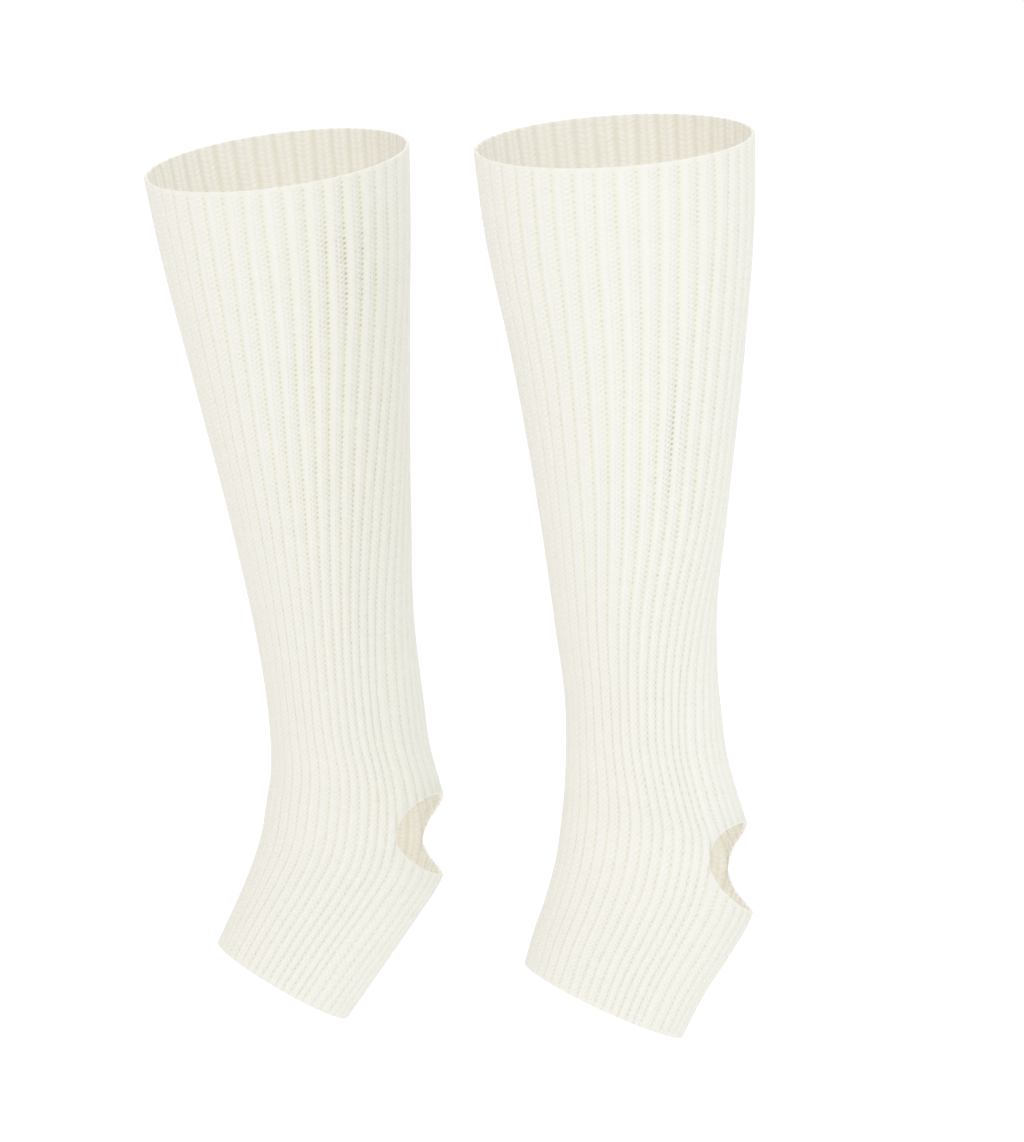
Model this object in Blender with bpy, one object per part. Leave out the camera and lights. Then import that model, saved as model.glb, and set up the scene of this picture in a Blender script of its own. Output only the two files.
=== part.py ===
"""A pair of ribbed knit stirrup leg warmers, filled out as if worn and empty inside.

Each leg warmer is one knitted tube, open at the calf and at the toes, with a slit
across its back that the heel pulls open. Its ribs run the whole length, raised on the
outside of a wall that is plain inside. The two tubes stand as in a stride on tiptoe:
the far one behind and to the left, the near one in front and to the right.

Frame: metres, +Z up, +X towards the heels, +Y towards the far leg. The origin lies
midway between the two legs, level with the top edges.
Sizes below are in millimetres, angles in degrees, and places along the knit in courses,
which are the rows of stitches counted from the top edge.
"""

import math
from typing import NamedTuple

import bmesh
import bpy
import numpy as np

METRES_PER_MM = 0.001

# The knit: ribs round a tube, how far they stand out, and the wall under the furrows
RIBS = 40
RIB_HEIGHT = 0.9
WALL = 1.4

# The points across one rib: their places as shares of its width, and their heights as
# shares of RIB_HEIGHT. The first one is the bottom of the furrow.
RIB_POINTS = ((0.0, 0.0), (0.3, 1.0), (0.7, 1.0))

# The heel slit: its course, its half length round the tube, how far the heel pulls its
# upper and its lower edge away, and over how many courses beyond them that fades out
SLIT_COURSE = 128
SLIT_HALF_RIBS = 6
SLIT_RISE = 10.0
SLIT_DROP = 6.0
SLIT_FADE = 26.0
SLIT_HALF_ANGLE = 2 * math.pi * SLIT_HALF_RIBS / RIBS

# The courses that the wall has points on, down to the slit and on to the toe edge
UPPER_COURSES = (0, 10, 24, 40, 56, 72, 86, 98, 107, 115, 122, SLIT_COURSE)
LOWER_COURSES = (SLIT_COURSE, 133, 139, 146, 153, 160)

# The step either way of a point over which the tube's slope is taken, in courses and radians,
# and how near two angles are that count as one, in radians
SLOPE_STEP = 0.01
SAME_ANGLE = 0.01

KNIT_COLOUR = (0.90, 0.885, 0.84, 1.0)
KNIT_ROUGHNESS = 0.9
SHARP_ANGLE = math.radians(60)


class Section(NamedTuple):
    """One ring round the tube, over its ribs, in an upright plane through the leg.

    x runs towards the heel and z up, both from the middle of the top edge. The turn swings
    the plane's toe side from -X towards +Y, and the roll lifts the +Y side of the ring.
    """

    course: float
    front_x: float
    front_z: float
    back_x: float
    back_z: float
    half_width: float
    turn: float
    roll: float


class Leg(NamedTuple):
    """One leg warmer: the middle of its top edge, and its rings from there to the toes."""

    name: str
    x: float
    y: float
    z: float
    sections: tuple


FAR_LEG = Leg(
    name="far_leg_warmer",
    x=-75.5,
    y=58.0,
    z=-8.5,
    sections=(
        Section(0, -61.0, -7.5, 60.0, 8.5, 54.0, -5.0, 8.5),
        Section(14, -54.0, -40.5, 60.5, -24.5, 53.0, -4.0, 7.5),
        Section(40, -38.0, -103.5, 60.0, -87.0, 49.0, 0.0, 4.0),
        Section(70, -20.5, -173.0, 60.5, -160.5, 42.0, 4.0, 0.0),
        Section(90, -10.5, -219.0, 62.0, -210.0, 37.0, 7.0, -4.0),
        Section(104, -5.5, -250.0, 66.5, -245.5, 35.0, 10.0, -7.0),
        Section(112, -4.0, -268.0, 70.0, -268.0, 34.0, 11.0, -11.0),
        Section(118, -4.0, -281.0, 76.0, -288.0, 33.0, 12.0, -14.0),
        Section(126, -6.0, -295.0, 79.0, -307.5, 33.0, 13.0, -12.0),
        Section(134, -8.5, -310.0, 76.0, -327.0, 34.0, 13.0, -9.0),
        Section(142, -13.5, -326.0, 65.0, -345.0, 35.0, 13.0, -10.0),
        Section(151, -20.5, -343.0, 47.0, -371.0, 36.5, 13.0, -12.0),
        Section(160, -29.0, -361.5, 30.0, -395.5, 37.5, 13.0, -12.0),
    ),
)

NEAR_LEG = Leg(
    name="near_leg_warmer",
    x=75.5,
    y=-58.0,
    z=8.5,
    sections=(
        Section(0, -61.5, -3.5, 62.0, 5.5, 54.0, -5.0, 7.5),
        Section(14, -57.0, -36.5, 62.0, -27.0, 53.0, -4.0, 7.0),
        Section(40, -44.0, -97.5, 58.0, -88.5, 49.0, -1.0, 4.0),
        Section(70, -31.5, -170.0, 50.5, -161.5, 42.0, 3.0, 0.0),
        Section(90, -25.0, -216.0, 46.0, -211.0, 37.0, 6.0, -4.0),
        Section(104, -21.0, -247.0, 48.0, -247.0, 35.0, 8.0, -8.0),
        Section(112, -20.5, -266.0, 52.0, -273.5, 34.0, 9.0, -11.0),
        Section(118, -21.0, -283.0, 60.0, -298.5, 33.0, 10.0, -15.0),
        Section(126, -22.5, -299.5, 67.0, -316.0, 33.0, 11.0, -14.0),
        Section(134, -25.0, -317.5, 63.0, -339.5, 34.0, 11.0, -11.0),
        Section(142, -29.5, -335.0, 54.0, -357.0, 35.0, 11.0, -10.0),
        Section(151, -34.5, -349.5, 41.5, -377.0, 36.5, 10.0, -9.0),
        Section(160, -39.0, -365.0, 31.5, -397.0, 37.5, 9.0, -8.0),
    ),
)


def sizes_at(leg, course):
    """The section table's columns at these courses: a cubic from row to row.

    Its slope at a row is that of the parabola through the row and its two neighbours.
    """
    table = np.array(leg.sections)
    rows, values = table[:, 0], table[:, 1:]
    slopes = np.gradient(values, rows, axis=0)
    start = np.clip(np.searchsorted(rows, course, side="right") - 1, 0, len(rows) - 2)
    gap = rows[start + 1] - rows[start]
    t = ((course - rows[start]) / gap)[..., None]
    gap = gap[..., None]
    return (
        values[start] * (2 * t**3 - 3 * t**2 + 1)
        + slopes[start] * gap * (t**3 - 2 * t**2 + t)
        + values[start + 1] * (3 * t**2 - 2 * t**3)
        + slopes[start + 1] * gap * (t**3 - t**2)
    )


def tube_point(leg, course, around):
    """The tube's outline over its ribs; around is 0 at the back and grows towards +Y."""
    sizes = np.moveaxis(sizes_at(leg, course), -1, 0)
    front_x, front_z, back_x, back_z, half_width = sizes[:5]
    turn, roll = np.radians(sizes[5:])
    back = (1 + np.cos(around)) / 2
    along = front_x + (back_x - front_x) * back
    aside = half_width * np.sin(around)
    return np.stack(
        [
            along * np.cos(turn) + aside * np.cos(roll) * np.sin(turn),
            -along * np.sin(turn) + aside * np.cos(roll) * np.cos(turn),
            front_z + (back_z - front_z) * back + aside * np.sin(roll),
        ],
        axis=-1,
    )


def slope(leg, course, around, course_step, around_step):
    """The vector between the points one step before and one step after a place on the tube."""
    after = tube_point(leg, course + course_step, around + around_step)
    before = tube_point(leg, course - course_step, around - around_step)
    return after - before


def wall_point(leg, course, around, depth):
    """A point this deep in the wall, straight in from the outline over the ribs."""
    down_tube = slope(leg, course, around, SLOPE_STEP, 0.0)
    round_tube = slope(leg, course, around, 0.0, SLOPE_STEP)
    normal = np.cross(down_tube, round_tube)
    normal /= np.linalg.norm(normal, axis=-1, keepdims=True)
    return tube_point(leg, course, around) - normal * depth[..., None]


def pulled_course(course, around, above):
    """Where the heel pulls a course to, up the tube if it is above the slit, and else down.

    Each edge of the slit takes the shape of half an ellipse, and the courses beyond it
    move less and less.
    """
    pull = -SLIT_RISE if above else SLIT_DROP
    arch = np.sqrt(np.clip(1 - (around / SLIT_HALF_ANGLE) ** 2, 0, 1))
    fade = np.clip(1 - np.abs(course - SLIT_COURSE) / SLIT_FADE, 0, 1) ** 2
    return course + pull * arch * fade


def rib_columns():
    """The angle round the tube and the rib height of each column of points.

    The columns start at the back, which is 0, and go round it towards +Y; past the front
    their angles count up from -pi.
    """
    columns = [(rib + place, height) for rib in range(RIBS) for place, height in RIB_POINTS]
    places, heights = np.array(columns).T
    around = places * 2 * math.pi / RIBS
    return np.where(around > math.pi, around - 2 * math.pi, around), heights


class Face:
    """One face of the cloth, outer or inner: its points and their numbers in the mesh.

    The numbers are two grids of rows by columns, above and below the slit's course.
    """

    def __init__(self, leg, around, depth, first_number):
        upper, lower = (
            self.points_on(leg, courses, above, around, depth)
            for courses, above in ((UPPER_COURSES, True), (LOWER_COURSES, False))
        )
        self.points = np.concatenate([upper.reshape(-1, 3), lower.reshape(-1, 3)])
        numbers = first_number + np.arange(len(self.points)).reshape(-1, len(around))
        self.upper, self.lower = np.split(numbers, [len(UPPER_COURSES)])
        # Beside the slit both edges are one course, so the lower grid takes the upper's points.
        beside = np.abs(around) > SLIT_HALF_ANGLE - SAME_ANGLE
        self.lower[0, beside] = self.upper[-1, beside]

    @staticmethod
    def points_on(leg, courses, above, around, depth):
        course, around_each = np.meshgrid(np.array(courses, float), around, indexing="ij")
        depth_each = np.broadcast_to(depth, course.shape)
        return wall_point(leg, pulled_course(course, around_each, above), around_each, depth_each)

    def quads(self):
        for grid in (self.upper, self.lower):
            before = np.roll(grid, 1, axis=1)
            yield from np.stack([before[:-1], grid[:-1], grid[1:], before[1:]], -1).reshape(-1, 4)


def edge_strip(outer_row, inner_row, inner_columns, closed):
    """Faces across the wall's thickness along one edge, between neighbouring inner columns."""
    for i in range(0 if closed else 1, len(inner_columns)):
        start, end = inner_columns[i - 1], inner_columns[i]
        count = (end - start) % len(outer_row)
        outer_run = [outer_row[(start + step) % len(outer_row)] for step in range(count + 1)]
        yield outer_run + [inner_row[i], inner_row[i - 1]]


def wall_mesh(leg):
    """Points in metres and faces of one tube's wall, ribbed outside and plain inside."""
    around, heights = rib_columns()
    at_slit = np.abs(around) < SLIT_HALF_ANGLE + SAME_ANGLE
    # The inner face has one column under each furrow, and every column at the slit.
    inner_columns = np.flatnonzero((heights == 0) | at_slit)
    outer = Face(leg, around, RIB_HEIGHT * (1 - heights), 0)
    inner = Face(leg, around[inner_columns], RIB_HEIGHT + WALL, len(outer.points))
    faces = [*outer.quads(), *inner.quads()]
    for outer_row, inner_row in (
        (outer.upper[0], inner.upper[0]),
        (outer.lower[-1], inner.lower[-1]),
    ):
        faces += edge_strip(outer_row, inner_row, inner_columns, closed=True)
    # The slit's columns, from one end of it past the back to the other.
    picked = np.flatnonzero(at_slit[inner_columns])
    picked = picked[np.argsort(around[inner_columns][picked])]
    for outer_row, inner_row in (
        (outer.upper[-1], inner.upper[-1]),
        (outer.lower[0], inner.lower[0]),
    ):
        faces += edge_strip(outer_row, inner_row[picked], inner_columns[picked], closed=False)
    points = np.concatenate([outer.points, inner.points]) * METRES_PER_MM
    return points.tolist(), [[int(number) for number in face] for face in faces]


def knit_material():
    """Matt ivory knit."""
    material = bpy.data.materials.new("ivory_rib_knit")
    material.use_nodes = True
    shader = material.node_tree.nodes["Principled BSDF"]
    shader.inputs["Base Color"].default_value = KNIT_COLOUR
    shader.inputs["Roughness"].default_value = KNIT_ROUGHNESS
    shader.inputs["Metallic"].default_value = 0.0
    return material


def make_leg_warmer(leg, material):
    """One leg warmer as an object that stands at the middle of its top edge."""
    points, faces = wall_mesh(leg)
    mesh = bpy.data.meshes.new(leg.name)
    mesh.from_pydata(points, [], faces)
    work = bmesh.new()
    work.from_mesh(mesh)
    unused = [vertex for vertex in work.verts if not vertex.link_faces]
    bmesh.ops.delete(work, geom=unused, context="VERTS")
    bmesh.ops.recalc_face_normals(work, faces=work.faces)
    work.to_mesh(mesh)
    work.free()
    mesh.shade_smooth()
    mesh.set_sharp_from_angle(angle=SHARP_ANGLE)
    mesh.materials.append(material)
    warmer = bpy.data.objects.new(leg.name, mesh)
    warmer.location = [value * METRES_PER_MM for value in (leg.x, leg.y, leg.z)]
    bpy.context.collection.objects.link(warmer)


def main():
    for leftover in list(bpy.data.objects):
        bpy.data.objects.remove(leftover)
    knit = knit_material()
    for leg in (FAR_LEG, NEAR_LEG):
        make_leg_warmer(leg, knit)


main()
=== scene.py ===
"""A pair of ribbed knit stirrup leg warmers, filled out as if worn and empty inside.

Each leg warmer is one knitted tube. Its wall is worked out stitch by stitch: ribs with a
row of small holes down every furrow, slanting stitches on one side of each rib, and the
reversed rib inside. The tube is made as three stretches that meet edge to edge, and they
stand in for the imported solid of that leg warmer.

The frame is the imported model's: metres, +Z up, +X towards the heels, +Y towards the far
leg. Sizes in the tables are in millimetres, angles in degrees, and places along the knit
in courses, which are the rows of stitches counted from the top edge. Places round the knit
are in ribs, from 0 at the middle of the slit to 20 opposite it, negative on the near side.
"""

from __future__ import annotations

import logging
import math
from dataclasses import dataclass
from enum import Enum

import bpy
import numpy as np
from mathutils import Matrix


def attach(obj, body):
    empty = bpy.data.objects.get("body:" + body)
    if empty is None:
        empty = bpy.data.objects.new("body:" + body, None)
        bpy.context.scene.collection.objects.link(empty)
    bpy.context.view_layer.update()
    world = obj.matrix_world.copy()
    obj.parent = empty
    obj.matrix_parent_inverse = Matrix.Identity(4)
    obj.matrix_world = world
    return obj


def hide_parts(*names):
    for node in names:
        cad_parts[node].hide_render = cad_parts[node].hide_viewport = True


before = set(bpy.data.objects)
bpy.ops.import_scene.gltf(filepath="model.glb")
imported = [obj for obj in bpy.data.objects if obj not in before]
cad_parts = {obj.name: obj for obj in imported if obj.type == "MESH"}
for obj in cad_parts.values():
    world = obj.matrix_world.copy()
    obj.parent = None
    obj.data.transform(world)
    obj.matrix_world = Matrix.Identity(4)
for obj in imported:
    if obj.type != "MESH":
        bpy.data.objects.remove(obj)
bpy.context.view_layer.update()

LOG = logging.getLogger("leg_warmers")
METRES_PER_MM = 0.001
TURN = 2 * math.pi
BAKE_MAP = "OFBake"
KNIT_MAP = "Knit"
OPEN_ATTRIBUTE = "open"
# Places round the tube that are closer than this are the same, in ribs
SAME_PLACE = 1e-6


# ------------------------------------------------------------------ the shape of the tube


@dataclass(frozen=True)
class Section:
    """One ring round the tube, over its ribs, in an upright plane through the leg.

    x runs towards the heel and z up, both from the middle of the top edge. The turn swings
    the plane's toe side from -X towards +Y, and the roll lifts the +Y side of the ring.
    """

    course: float
    front_x: float
    front_z: float
    back_x: float
    back_z: float
    half_width: float
    turn: float
    roll: float

    def row(self) -> list[float]:
        """The section's values in the order of the fields."""
        return list(vars(self).values())


@dataclass(frozen=True)
class Slit:
    """The heel slit: where it lies in the knit, and how the heel pulls it open."""

    course: float = 128.0
    half_ribs: float = 6.0
    rise: float = 10.0
    drop: float = 6.0
    fade: float = 26.0
    spread: float = 24.0

    def arch(self, ribs: np.ndarray, away: np.ndarray | float = 0.0) -> np.ndarray:
        """Half an ellipse over the slit, whose ends run out softly away from its edges.

        It is the root of half of h + sqrt(h * h + e * e), where h is the height of a
        parabola over the slit and e goes with the square of the courses from its edge.

        Args:
            ribs: Places round the tube.
            away: Courses from the slit's edge.

        Returns:
            1 at the slit's middle. On its edges 0 at its ends and beyond them, and a little
            more than 0 there away from them.
        """
        height = 1 - (ribs / self.half_ribs) ** 2
        soft = np.clip(away / self.spread, 0, 1) ** 2
        return np.sqrt((height + np.sqrt(height**2 + soft**2)) / 2)

    def pulled(self, course: np.ndarray, ribs: np.ndarray, above: bool) -> np.ndarray:
        """Where the heel pulls a course to: up the tube above the slit, down it below.

        The pull is the arch times the square of a line that falls from the slit to nothing.

        Args:
            course: Courses of the points.
            ribs: Their places round the tube.
            above: Whether they belong to the knit above the slit.

        Returns:
            The courses that the points move to.
        """
        pull = -self.rise if above else self.drop
        away = np.abs(course - self.course)
        fade = np.clip(1 - away / self.fade, 0, 1) ** 2
        return course + pull * self.arch(ribs, away) * fade


@dataclass(frozen=True)
class Tube:
    """The outline of one leg warmer over its ribs, as a function of course and rib.

    place is the middle of its top edge. twist is how far the ribs turn round the leg, in
    radians, and twist_courses where that starts to fade and where it has faded. As far as
    held_rib, the slit's end, the ribs then lose all of it.
    """

    place: tuple[float, float, float]
    sections: tuple[Section, ...]
    twist: float
    twist_courses: tuple[float, float]
    held_rib: float = 6.0
    ribs: int = 40
    step: float = 0.02

    def sizes_at(self, course: np.ndarray) -> np.ndarray:
        """The section table's columns at these courses: a cubic from row to row.

        Its slope at a row is that of the parabola through the row and its two neighbours.

        Args:
            course: Courses to work out, of any shape.

        Returns:
            The seven sizes at each course, along a new first axis.
        """
        table = np.array([section.row() for section in self.sections])
        rows, values = table[:, 0], table[:, 1:]
        slopes = np.gradient(values, rows, axis=0)
        start = np.clip(np.searchsorted(rows, course, side="right") - 1, 0, len(rows) - 2)
        gap = rows[start + 1] - rows[start]
        t = ((course - rows[start]) / gap)[..., None]
        gap = gap[..., None]
        sizes = (
            values[start] * (2 * t**3 - 3 * t**2 + 1)
            + slopes[start] * gap * (t**3 - 2 * t**2 + t)
            + values[start + 1] * (3 * t**2 - 2 * t**3)
            + slopes[start + 1] * gap * (t**3 - t**2)
        )
        return np.moveaxis(sizes, -1, 0)

    def angle(self, course: np.ndarray, ribs: np.ndarray) -> np.ndarray:
        """Angles of the ribs round the tube, which turn a little round the leg.

        The even angle has the twist added to it. Down the courses of the twist, a smooth
        step takes it off the ribs over the slit, and off the others less the further round
        they lie, as 1 less the sine of a quarter turn times their share of the way from
        the slit's end to the front.

        Args:
            course: Courses of the points.
            ribs: Their places round the tube.

        Returns:
            Angles in radians, from 0 at the back.
        """
        even = ribs * TURN / self.ribs
        start, end = self.twist_courses
        share = np.clip((course - start) / (end - start), 0, 1)
        held = share**2 * (3 - 2 * share)
        way = np.clip((np.abs(ribs) - self.held_rib) / (self.ribs / 2 - self.held_rib), 0, 1)
        return even + self.twist * (1 - held * (1 - np.sin(TURN / 4 * way)))

    def outline(self, course: np.ndarray, ribs: np.ndarray) -> np.ndarray:
        """Points on the outline: an oval ring at each course, turned and rolled.

        Args:
            course: Courses of the points.
            ribs: Their places round the tube.

        Returns:
            Points in millimetres from the middle of the top edge.
        """
        around = self.angle(course, ribs)
        front_x, front_z, back_x, back_z, half_width, turn, roll = self.sizes_at(course)
        turn, roll = np.radians(turn), np.radians(roll)
        back = (1 + np.cos(around)) / 2
        along = front_x + (back_x - front_x) * back
        aside = half_width * np.sin(around)
        return np.stack(
            [
                along * np.cos(turn) + aside * np.cos(roll) * np.sin(turn),
                -along * np.sin(turn) + aside * np.cos(roll) * np.cos(turn),
                front_z + (back_z - front_z) * back + aside * np.sin(roll),
            ],
            axis=-1,
        )

    def wall(self, course: np.ndarray, ribs: np.ndarray, depth: np.ndarray) -> np.ndarray:
        """Points at a depth in the wall, straight in from the outline.

        Straight out is the vector down the tube crossed with the vector round it.

        Args:
            course: Courses of the points.
            ribs: Their places round the tube.
            depth: How far each point lies inside the outline, in millimetres.

        Returns:
            Points in the frame, in metres.
        """
        down = self.outline(course + self.step, ribs) - self.outline(course - self.step, ribs)
        across = self.outline(course, ribs + self.step) - self.outline(course, ribs - self.step)
        out = unit(np.cross(down, across))
        points = self.outline(course, ribs) - out * depth[..., None]
        return (points + np.array(self.place)) * METRES_PER_MM


def unit(vectors: np.ndarray) -> np.ndarray:
    """Vectors of length 1 in the same directions."""
    return vectors / np.linalg.norm(vectors, axis=-1, keepdims=True)


def bell(distance: np.ndarray, half_width: float) -> np.ndarray:
    """A bell curve: 1 at a distance of 0, and 1/e at the half width."""
    return np.exp(-((distance / half_width) ** 2))


def off_whole(number: np.ndarray) -> np.ndarray:
    """How far a number lies from the nearest whole one, from -0.5 to 0.5."""
    return number - np.round(number)


def add_object(
    name: str,
    data: bpy.types.ID,
    place: tuple[float, float, float] | np.ndarray = (0.0, 0.0, 0.0),
) -> bpy.types.Object:
    """Adds an object with this mesh, light or camera to the scene.

    Args:
        name: Its name.
        data: Its mesh, light or camera.
        place: Where it goes, in metres.

    Returns:
        The new object.
    """
    made = bpy.data.objects.new(name, data)
    made.location = place
    bpy.context.scene.collection.objects.link(made)
    return made


# ------------------------------------------------------------------ the stitches


class Side(Enum):
    """A side of the cloth, with its material slot."""

    FACE = 0
    REVERSE = 1


@dataclass(frozen=True)
class Holes:
    """A column of small holes down every rib, one to a course.

    place is across the rib from 0 to 1, offset is how far down from a whole course they
    lie, and width and length are a hole's half width and half length, in ribs and courses.
    depth is in millimetres, and the tone is how strongly a fully open hole takes the painted
    shade of the tube's inside seen through it, from 0 to 1.
    """

    place: float
    offset: float
    width: float
    length: float
    depth: float
    tone: float

    def mask(self, course: np.ndarray, place: np.ndarray) -> np.ndarray:
        """A bell across each hole times a bell along it."""
        across = bell(off_whole(place - self.place), self.width)
        return across * bell(off_whole(course - self.offset), self.length)


@dataclass(frozen=True)
class Strokes:
    """A band of slanting stitches down every rib, one to a course.

    place is the band's middle across the rib and reach its half width. slant is how many
    courses a stitch rises over a whole rib. depth is in millimetres, and the tone is how much
    painted shade fills the hollow between two stitches, from 0 to 1.
    """

    place: float
    reach: float
    slant: float
    depth: float
    tone: float
    soft: float = 0.08

    def mask(self, course: np.ndarray, place: np.ndarray) -> np.ndarray:
        """A band with soft sides times a slanting cosine wave along the courses."""
        off = off_whole(place - self.place)
        band = np.clip((self.reach - np.abs(off)) / self.soft + 0.5, 0, 1)
        return band * (0.5 - 0.5 * np.cos(TURN * (course + self.slant * off)))


@dataclass(frozen=True)
class ShadeCrease:
    """A line of painted shade down every rib: its place across the rib, its half width, and how
    strong the painted shade is.
    """

    place: float
    width: float
    tone: float


@dataclass(frozen=True)
class Stitches:
    """The holes and strokes on one side of the cloth.

    Both go with how open the holes are, and shut_strokes is what the strokes keep where
    they are shut.
    """

    holes: tuple[Holes, ...]
    strokes: tuple[Strokes, ...]
    shut_strokes: float = 0.6

    def relief(self, course: np.ndarray, place: np.ndarray, opened: np.ndarray) -> np.ndarray:
        """How deep the stitches lie: the sum of each mask times its depth and the openness.

        Args:
            course: Courses of the points, as knitted.
            place: Their places in the rib.
            opened: How open the holes are there.

        Returns:
            Depths in millimetres.
        """
        depth = sum(each.depth * each.mask(course, place) for each in self.strokes)
        depth = depth * (self.shut_strokes + opened)
        return depth + sum(each.depth * each.mask(course, place) * opened for each in self.holes)


# Each tone is how much painted shade a hole or the hollow between stitches takes.
FACE_STITCHES = Stitches(
    holes=(
        Holes(place=0.0, offset=0.0, width=0.07, length=0.24, depth=0.4, tone=0.85),
        Holes(place=0.53, offset=0.15, width=0.06, length=0.22, depth=0.25, tone=0.5),
        Holes(place=0.76, offset=0.55, width=0.06, length=0.22, depth=0.2, tone=0.4),
    ),
    strokes=(
        Strokes(place=0.72, reach=0.27, slant=1.4, depth=0.14, tone=0.2),
        Strokes(place=0.26, reach=0.2, slant=-1.0, depth=0.06, tone=0.1),
    ),
)
REVERSE_STITCHES = Stitches(
    holes=(
        Holes(place=0.14, offset=0.0, width=0.06, length=0.22, depth=0.15, tone=0.45),
        Holes(place=0.62, offset=0.5, width=0.06, length=0.22, depth=0.15, tone=0.25),
    ),
    strokes=(
        Strokes(place=0.34, reach=0.2, slant=-1.6, depth=0.2, tone=0.4),
        Strokes(place=0.72, reach=0.2, slant=1.2, depth=0.2, tone=0.4),
    ),
)


@dataclass(frozen=True)
class OpenPlace:
    """A place where the knit is stretched a little more and its holes stand open.

    rib and course are its middle, ribs and courses its half sizes.
    """

    rib: float
    course: float
    ribs: float
    courses: float
    share: float


# The slow waves that sway the ribs: strength, courses to a radian, turns round the tube and
# start in radians
SWAY_WAVES = ((1.0, 9.0, 11, 0.0), (0.7, 17.0, -6, 2.0), (0.5, 4.3, 17, 0.5))


@dataclass(frozen=True)
class RibKnit:
    """The rib knit: how deep each part of its two sides lies, in millimetres.

    A rib runs from 0 to 1, from one furrow's holes to the next, in shares of its width.
    Each course is one row of stitches. shin_shut is how much less open the holes are along
    the shin, and open_random how unevenly those of an open place stand open.
    """

    open_places: tuple[OpenPlace, ...]
    seed: int
    courses: int = 160
    ribs: int = 40
    base_open: float = 0.15
    random_open: float = 0.2
    open_random: tuple[float, float] = (0.2, 1.2)
    rib_height: float = 0.8
    furrow_power: int = 8
    wall: float = 1.4
    groove_depth: float = 0.55
    groove_width: float = 0.17
    sway: float = 0.03
    shin_rib: float = 17.0
    shin_ribs: float = 3.5
    shin_shut: float = 0.9

    def openness(self, slit: Slit) -> np.ndarray:
        """How open each hole is, from 0 to 1, by rib and course.

        Each is a random number of its own, less along the shin, plus bells round the open
        places. The holes on the cloth's edges are shut.

        Args:
            slit: The heel slit, whose edges have no holes.

        Returns:
            Shares, ribs by courses.
        """
        rng = np.random.default_rng(self.seed)
        rib, course = np.meshgrid(np.arange(self.ribs), np.arange(self.courses + 1), indexing="ij")
        shin = bell(rib - self.shin_rib, self.shin_ribs)
        share = self.base_open + self.random_open * rng.uniform(0, 1, rib.shape)
        share = share * (1 - self.shin_shut * shin)
        for place in self.open_places:
            away = (rib - place.rib + self.ribs / 2) % self.ribs - self.ribs / 2
            near = bell(away, place.ribs) * bell(course - place.course, place.courses)
            share = share + place.share * near * rng.uniform(*self.open_random, rib.shape)
        from_back = np.minimum(rib, self.ribs - rib)
        edge = (course == 0) | (course == self.courses)
        edge |= (course == slit.course) & (from_back <= slit.half_ribs)
        return np.where(edge, 0, np.clip(share, 0, 1))

    def swayed(self, course: np.ndarray, ribs: np.ndarray) -> np.ndarray:
        """Ribs moved a little to either side along their length.

        The move is three slow sine waves down the tube, each out of step from rib to rib.
        """
        rib = ribs * TURN / self.ribs
        waves = sum(
            size * np.sin(course / length + turns * rib + start)
            for size, length, turns, start in SWAY_WAVES
        )
        return ribs + self.sway * waves

    def depth(
        self, side: Side, course: np.ndarray, ribs: np.ndarray, openness: np.ndarray
    ) -> tuple[np.ndarray, np.ndarray]:
        """How deep a side of the cloth lies below the outline, and how open its holes are.

        On the face a furrow is a high power of a cosine, and on the reverse a groove is a
        bell. The stitches' relief is added to both.

        Args:
            side: The side of the cloth.
            course: Courses of the points, as knitted.
            ribs: Their places round the tube.
            openness: How open each hole is, ribs by courses.

        Returns:
            Depths in millimetres, and how open the nearest hole is, from 0 to 1.
        """
        swayed = self.swayed(course, ribs)
        place = swayed - np.floor(swayed)
        rib = np.round(swayed).astype(int) % self.ribs
        opened = openness[rib, np.clip(np.round(course).astype(int), 0, self.courses)]
        if side is Side.FACE:
            ground = self.rib_height * np.cos(np.pi * place) ** self.furrow_power
            return ground + FACE_STITCHES.relief(course, place, opened), opened
        groove = bell(off_whole(place), self.groove_width)
        ground = self.rib_height + self.wall - self.groove_depth * groove
        return ground - REVERSE_STITCHES.relief(course, place, opened), opened


# ------------------------------------------------------------------ meshes


@dataclass
class Rows:
    """Rows of mesh points that run round the tube, and where they lie in the knit.

    numbers are the points' numbers in the mesh, rows by columns. The last column of rows
    that go all round is the first one again.
    """

    numbers: np.ndarray
    courses: np.ndarray
    ribs: np.ndarray

    def run(self, row: int, limit: float) -> Rows:
        """One of the rows, as far as this many ribs either side of the slit's middle."""
        near = np.abs(self.ribs) <= limit
        picked = slice(row, row + 1) if row >= 0 else slice(row, None)
        return Rows(self.numbers[picked][:, near], self.courses[picked], self.ribs[near])

    def between(self, first: int, last: int | None) -> Rows:
        """The rows from the first of these to the last, or to the end if it is None."""
        end = None if last is None else last + 1
        return Rows(self.numbers[first:end], self.courses[first:end], self.ribs)

    def upwards(self) -> Rows:
        """The same rows from the last to the first."""
        return Rows(self.numbers[::-1], self.courses[::-1], self.ribs)

    def then(self, other: Rows) -> Rows:
        """These rows and then the other's, which have the same columns."""
        numbers = np.concatenate([self.numbers, other.numbers])
        return Rows(numbers, np.concatenate([self.courses, other.courses]), self.ribs)


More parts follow.
